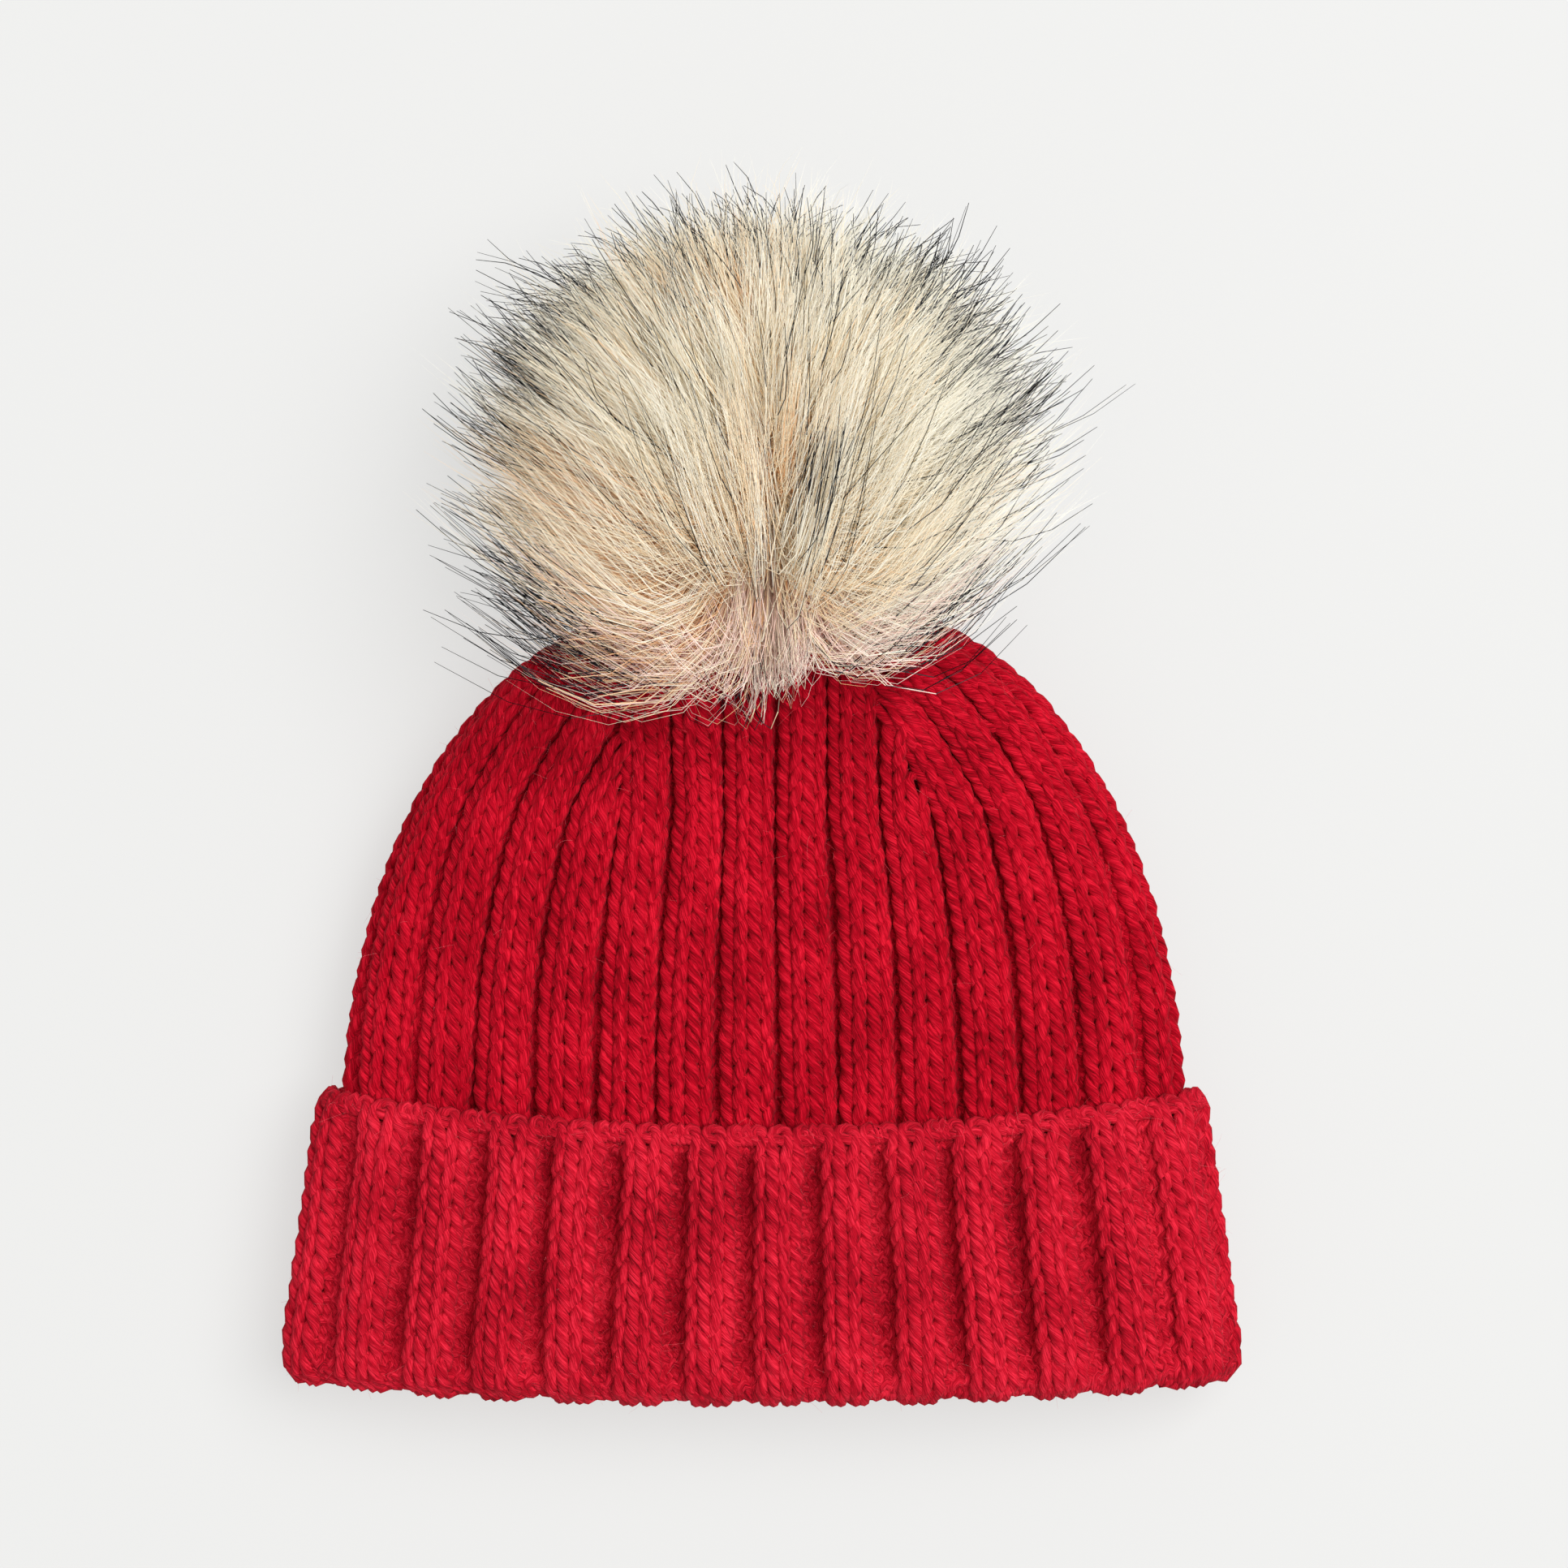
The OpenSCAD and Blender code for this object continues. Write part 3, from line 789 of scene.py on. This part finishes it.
def noise_bumped(name, dark, light, roughness, scale, height, stretch=(1, 1, 1), **extra):
    """A material whose colour, gloss and bump come from one noise, stretched along the axes."""
    material, tree, shader = surface(name, light, roughness, **extra)
    place = node(tree, "ShaderNodeTexCoord").outputs["Object"]
    laid = node(tree, "ShaderNodeMapping", {"Vector": place, "Scale": stretch}).outputs[0]
    noise = noise_over(tree, laid, scale, 4.0, 0.65)
    gloss = node(tree, "ShaderNodeMapRange", {0: noise, 1: 0.3, 2: 0.7, 3: roughness + 0.1, 4: roughness - 0.1})
    tree.links.new(gloss.outputs[0], shader.inputs["Roughness"])
    colour_and_bump(tree, shader, noise, [(0.35, dark), (0.65, light)], noise, height)
    return material


def woven(name, dark, light, roughness, threads, height, **extra):
    """Plain weave: two sets of threads that pass over and under each other, on planes along all three axes."""
    material, tree, shader = surface(name, light, roughness, **extra)
    place = node(tree, "ShaderNodeTexCoord").outputs["Object"]
    split = node(tree, "ShaderNodeSeparateXYZ", {0: place})
    waves = [maths(tree, "SINE", times(tree, split.outputs[i], threads)) for i in range(3)]
    check = times(tree, times(tree, waves[0], waves[1]), 0.5)
    check = maths(tree, "ADD", check, times(tree, times(tree, waves[1], waves[2]), 0.5))
    fibre = noise_over(tree, place, 1800.0)
    weave = maths(tree, "ADD", times(tree, check, 0.4), fibre)
    # The colour is darker where the threads dip under each other: painted shade in the weave's hollows, over a random
    # tone from the fibre noise.
    colour_and_bump(tree, shader, weave, [(0.2, dark), (0.8, light)], weave, height)
    return material


def thread_material():
    """Two-ply sewing thread, read from the yarn UV."""
    material, tree, shader = surface("white_thread", (0.85, 0.84, 0.80), 0.55, Sheen_Weight=0.2)
    split = node(tree, "ShaderNodeSeparateXYZ", {0: node(tree, "ShaderNodeUVMap", uv_map="yarn").outputs[0]})
    along = times(tree, split.outputs[0], 4200.0)
    wound = maths(tree, "ADD", times(tree, split.outputs[1], TAU), along)
    ply = maths(tree, "ABSOLUTE", maths(tree, "SINE", wound))
    # The colour darkens into the groove between the two plies: painted shade.
    colour_and_bump(tree, shader, ply, [(0.0, (0.42, 0.40, 0.36)), (0.6, (0.88, 0.87, 0.83))], ply, 0.0001)
    return material


THREAD = thread_material()
STEEL = noise_bumped("nickel_steel", (0.46, 0.46, 0.47), (0.72, 0.72, 0.73), 0.28, 500.0, 0.00002,
                     stretch=(1, 5, 1), Metallic=1.0)
FELT = noise_bumped("felt", (0.50, 0.38, 0.28), (0.76, 0.63, 0.50), 0.9, 1400.0, 0.0004, Sheen_Weight=0.3)
FIBREFILL = noise_bumped("fibrefill", (0.72, 0.71, 0.68), (0.93, 0.92, 0.90), 0.8, 260.0, 0.0012,
                         stretch=(1, 4, 2), Sheen_Weight=0.3)
BACKING = woven("fur_backing_cloth", (0.36, 0.27, 0.20), (0.70, 0.56, 0.44), 0.85, 5200.0, 0.0003, Sheen_Weight=0.1)
SATIN = woven("label_satin", (0.72, 0.71, 0.68), (0.92, 0.91, 0.89), 0.32, 9000.0, 0.00004,
              Sheen_Weight=0.2, Anisotropic=0.4)


def on_axis(across, down, station):
    """Points round the press stud's axis: station is how far they are from the crown tip."""
    return TIP + np.stack(np.broadcast_arrays(across, station, -np.asarray(down)), -1)


def station_of(name):
    """Middle of a node along the press stud's axis."""
    low, high = node_box(name)
    return (low[1] + high[1]) / 2 - TIP[1]


def make_seam():
    """The back seam: two yarns overcast along the inside of the back, one turn for each row."""
    seam_low, seam_high = node_box("back_seam")
    half_w, lift = (seam_high[0] - seam_low[0]) / 2 - 1.0, 1.4
    stations = np.linspace(-0.99, 0.95, 400)
    line = []
    for t in stations:
        _, middle, half_h, y, bow = body_ring(t, WALL)
        line.append([0, y - bow, middle - half_h + lift])
    line = np.array(line)
    line = line[(line[:, 1] > seam_low[1]) & (line[:, 1] < seam_high[1])]
    run = running(np.linalg.norm(np.diff(line, axis=0), axis=1))
    fine = np.arange(0, run[-1], 0.45)
    middle = np.stack([np.interp(fine, run, line[:, i]) for i in range(3)], 1)
    tubes = Tubes(2)
    for strand in (0, 1):
        angle = TAU * (fine / ROW_PITCH + strand / 2)
        winding = [half_w * np.cos(angle), 0.25 * ROW_PITCH * np.sin(2 * angle), 0.55 * np.sin(angle)]
        wound = middle + np.stack(winding, 1)
        tubes.add(wound, [0, 0, 1], 0.85, RibKnit.SIDES, strand, closed=False)
    seam = tubes.build("seam_yarn", RED_YARN)
    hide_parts("back_seam")
    return seam


def make_label():
    """A strip of satin, folded on itself, with a little wave in it."""
    low, high = node_box("care_label")
    width, leaf, thick = high[0] - low[0], high[1] - low[1], 0.28
    fold_r = (high[2] - low[2] - thick) / 2
    straight = leaf - fold_r
    length = 2 * straight + math.pi * fold_r
    run, side = np.linspace(0, length, 150), np.linspace(0, width, 50)
    turned = np.clip((run - straight) / fold_r, 0, math.pi)
    back = np.maximum(0, run - straight - math.pi * fold_r)
    y = high[1] - np.minimum(run, straight) - fold_r * np.sin(turned) + back
    z = low[2] + thick / 2 + fold_r * (1 - np.cos(turned))
    y, x = np.meshgrid(y, side + low[0], indexing="ij")
    free = (high[1] - y) / leaf
    wave = free * (0.55 * np.sin(y / 5.5) * np.cos(x / 9.0) + 0.9 * free)
    middle = np.stack([x, y, np.repeat(z[:, None], len(side), 1) + wave], -1)
    normal = unit(np.cross(np.gradient(middle, axis=1), np.gradient(middle, axis=0)))
    verts = np.concatenate([(middle + k * normal * thick / 2).reshape(-1, 3) for k in (1, -1)])
    rows, columns = len(run), len(side)
    i, k = np.meshgrid(np.arange(rows - 1), np.arange(columns - 1), indexing="ij")
    corner = (i * columns + k).ravel()
    leaf_faces = np.stack([corner, corner + 1, corner + columns + 1, corner + columns], 1)
    under = rows * columns
    rim = np.array([*range(columns), *range(2 * columns - 1, under, columns),
                    *range(under - 2, under - columns - 1, -1), *range(under - 2 * columns, 0, -columns)])
    ahead = np.roll(rim, -1)
    edge_faces = np.stack([ahead, rim, rim + under, ahead + under], 1)
    faces = np.concatenate([leaf_faces, leaf_faces[:, ::-1] + under, edge_faces])
    label = link("satin_label", mesh_from("satin_label", verts * MM, faces), SATIN)
    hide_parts("care_label")
    return label


def make_label_stitches():
    """Running stitches of thread that hold the label's sewn end."""
    low, high = node_box("label_stitches")
    stitches = 6
    pitch = (high[0] - low[0]) / stitches
    tubes = Tubes(stitches)
    t = np.linspace(0, 1, 12)
    for i in range(stitches):
        arch = np.sin(math.pi * t)
        line = np.stack([low[0] + (i + 0.1 + 0.8 * t) * pitch, 0.3 * arch * (-1) ** i + (low[1] + high[1]) / 2,
                         low[2] - 0.5 + 0.95 * arch**0.5], 1)
        tubes.add(line, [0, 1, 0], 0.24, 8, i, closed=False)
    thread = tubes.build("label_thread", THREAD)
    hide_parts("label_stitches")
    return thread


def make_windings(name, replaced, major, spread, turns, radius, material):
    """Turns of yarn or thread wound about the press stud's axis."""
    t = np.linspace(0, turns, 48 * turns)
    reach = major + spread * 0.5 * np.sin(TAU * t * 0.37)
    station = station_of(replaced) + spread * (t / turns - 0.5)
    line = on_axis(reach * np.cos(TAU * t), reach * np.sin(TAU * t), station)
    tubes = Tubes(1)
    tubes.add(line, [0, 1, 0], radius, 10, 0, closed=False)
    wound = tubes.build(name, material)
    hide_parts(replaced)
    return wound


HOLES, HOLE_AT, LOOP_R = 4, 5.6, 1.15


def make_hole_loops(name, replaced):
    """Three turns of thread through each sewing hole of a press stud's plate and round its edge."""
    tubes, turns = Tubes(HOLES), 3
    t = np.linspace(0, turns, 24 * turns)
    reach = HOLE_AT + LOOP_R + 0.15 + LOOP_R * np.cos(TAU * t)
    station = station_of(replaced) + LOOP_R * np.sin(TAU * t)
    aside = 0.7 * (t / turns - 0.5)
    for i in range(HOLES):
        angle = TAU * (i + 0.5) / HOLES
        line = on_axis(reach * math.cos(angle) - aside * math.sin(angle),
                       reach * math.sin(angle) + aside * math.cos(angle), station)
        tubes.add(line, [-math.sin(angle), 0, -math.cos(angle)], 0.2, 8, i, closed=False)
    loops = tubes.build(name, THREAD)
    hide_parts(replaced)
    return loops


def make_turned(name, replaced, profile, uneven, material, columns=128):
    """A round piece about the press stud's axis. profile has (reach, station) points from pole to pole. uneven gives
    how far a point is pushed out, for its angle and its place in the profile from 0 to 1."""
    profile = np.array(profile, float)
    angle = TAU * np.arange(columns) / columns
    place = np.linspace(0, 1, len(profile))
    angle, place = np.meshgrid(angle, place)
    middle = np.array([0, profile[:, 1].mean()])
    push = uneven(angle, place)
    out = unit(profile - middle)
    reach = profile[:, :1] + out[:, :1] * push
    station = profile[:, 1:] + out[:, 1:] * push
    verts = on_axis(reach * np.cos(angle), reach * np.sin(angle), station).reshape(-1, 3)
    i, k = np.meshgrid(np.arange(len(profile) - 1), np.arange(columns), indexing="ij")
    j = (k + 1) % columns
    here, ahead = i * columns, (i + 1) * columns
    faces = np.stack([here + k, here + j, ahead + j, ahead + k], -1).reshape(-1, 4)
    piece = link(name, mesh_from(name, verts * MM, faces), material)
    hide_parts(replaced)
    return piece


def lumps(seed, angle, place, waves=9):
    """Smooth uneven field over a round piece, about -1 to 1, the same at both ends of a turn."""
    random = np.random.default_rng(seed)
    field = 0
    for _ in range(waves):
        field = field + np.sin(random.integers(1, 9) * angle + random.uniform(2, 14) * place + random.uniform(0, TAU))
    return field / math.sqrt(waves) * np.sin(math.pi * place)


def make_disc():
    """The felt disc over the pom's neck, with a rounded, slightly wavy edge."""
    low, high = node_box("pom_base_disc")
    reach, half = (high[0] - low[0]) / 2, (high[1] - low[1]) / 2
    near, far = low[1] - TIP[1], high[1] - TIP[1]
    edge = [(reach - half + half * math.cos(a), near + half - half * math.cos(a + math.pi / 2)) for a in
            np.linspace(-math.pi / 2, math.pi / 2, 9)]
    profile = [(r, near) for r in np.linspace(0.05, reach - half - 0.5, 8)] + edge
    profile += [(r, far) for r in np.linspace(reach - half - 0.5, 0.05, 8)]
    return make_turned("felt_disc", "pom_base_disc", profile, lambda angle, place: 0.16 * lumps(7, angle, place), FELT)


def make_backing():
    """The fur's backing, pulled into a ball whose pleats meet at the neck, where the thread draws it closed."""
    neck = math.asin(0.335)
    pleats = 22
    thick = 0.9
    centre = CORE[1] - TIP[1]
    outer = [(CORE_R * math.sin(a), centre - CORE_R * math.cos(a)) for a in np.linspace(neck, math.pi - 0.01, 64)]
    inner = [(0.97 * r, centre + (s - centre) * (1 - thick / CORE_R)) for r, s in reversed(outer)]

    def gathers(angle, place):
        from_neck = 1 - np.abs(2 * place - 1)
        return -0.7 * np.exp(-from_neck * 7) * (1 + np.cos(pleats * angle)) + 0.12 * lumps(9, angle, place) - 0.3

    return make_turned("backing_cloth", "pom_backing", outer + inner, gathers, BACKING, columns=220)


def make_stuffing():
    """The ball of polyester fibre, lumpy where it was pushed in."""
    low, high = node_box("pom_stuffing")
    reach = (high[0] - low[0]) / 2 - 1.2
    centre = CORE[1] - TIP[1]
    profile = [(reach * math.sin(a), centre - reach * math.cos(a)) for a in np.linspace(0.01, math.pi - 0.01, 72)]
    stuffing = make_turned("fibre_ball", "pom_stuffing", profile,
                           lambda angle, place: 0.5 * lumps(13, angle, place), FIBREFILL)
    return stuffing


# ---------- Stage ----------


def make_camera():
    """Straight down on the lying hat. view_w is how much is seen across, in metres."""
    view_w, lens, sensor = 0.367, 135.0, 36.0
    middle_x, middle_y = 0.0051, 0.0005
    camera = bpy.data.objects.new("camera", bpy.data.cameras.new("camera"))
    camera.data.lens, camera.data.sensor_width = lens, sensor
    camera.location = (middle_x, middle_y, LAY_H * MM + view_w * lens / sensor)
    bpy.context.scene.collection.objects.link(camera)
    bpy.context.scene.camera = camera


def area_light(name, place, aim, size, power):
    """A square white light at place that shines on aim."""
    light = bpy.data.objects.new(name, bpy.data.lights.new(name, "AREA"))
    light.data.size, light.data.energy = size, power
    light.location = place
    light.rotation_euler = (Vector(place) - Vector(aim)).to_track_quat("Z", "Y").to_euler()
    bpy.context.scene.collection.objects.link(light)


def make_stage():
    """A white room: even light from all round, one large light from the upper right, and a pale floor that glows."""
    scene = bpy.context.scene
    scene.view_settings.view_transform = "Standard"
    world = bpy.data.worlds.new("studio")
    scene.world = world
    world.use_nodes = True
    background = world.node_tree.nodes["Background"]
    background.inputs["Color"].default_value = (1, 1, 1, 1)
    background.inputs["Strength"].default_value = 0.60
    area_light("key", (1.4, 0.7, 3.2), (0, 0, 0), 2.7, 148.0)
    # Pale hair scatters light many times before it is bright
    scene.cycles.diffuse_bounces = 12
    floor_material, _, _ = surface("floor", (0.16, 0.16, 0.159), 0.8, Emission_Color=(1, 1, 0.985, 1),
                                   Emission_Strength=0.615)
    half = 3.0
    corners = np.array([[-half, -half, 0], [half, -half, 0], [half, half, 0], [-half, half, 0]])
    floor = link("floor", mesh_from("floor", corners, np.array([[0, 1, 2, 3]])), floor_material)


make_camera()
cuff = make_cuff()
body, crown = make_body()
cuff_fuzz, body_fuzz, crown_fuzz = make_fuzz([(cuff, 7000), (body, 6000), (crown, 4500)])
tip_yarn = make_windings("tip_yarn", "gather_yarn", 3.1, 0.9, 2, 0.75, RED_YARN)
thread_low, thread_high = node_box("pom_gather_thread")
neck_reach = (thread_high[0] - thread_low[0]) / 2 - 0.7
riders = {
    "hat": {"red_knit": [cuff, body, cuff_fuzz, body_fuzz, make_seam()], "label_satin": [make_label()],
            "white_thread": [make_label_stitches()]},
    "crown_tip": {"red_knit": [tip_yarn]},
    "stud_socket": {"white_thread": [make_hole_loops("socket_thread", "socket_stitches")]},
    "pom": {"white_thread": [make_hole_loops("stud_thread", "stud_stitches"), make_stuffing(),
                             make_windings("neck_thread", "pom_gather_thread", neck_reach, 0.8, 3, 0.32, THREAD)],
            "fur_backing": [make_disc(), make_backing()], "faux_fur": [make_pile()]},
}
for rider, slots in riders.items():
    for slot_name, made in slots.items():
        for piece in made:
            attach(piece, rider)
# The crown and its fuzz have their placing applied to their meshes
for piece in (crown, crown_fuzz):
    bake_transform(piece)
for name in ("snap_socket", "snap_spring", "snap_stud"):
    looks = frame["nodes"][name].data.materials
    looks.clear()
    looks.append(STEEL)
make_stage()
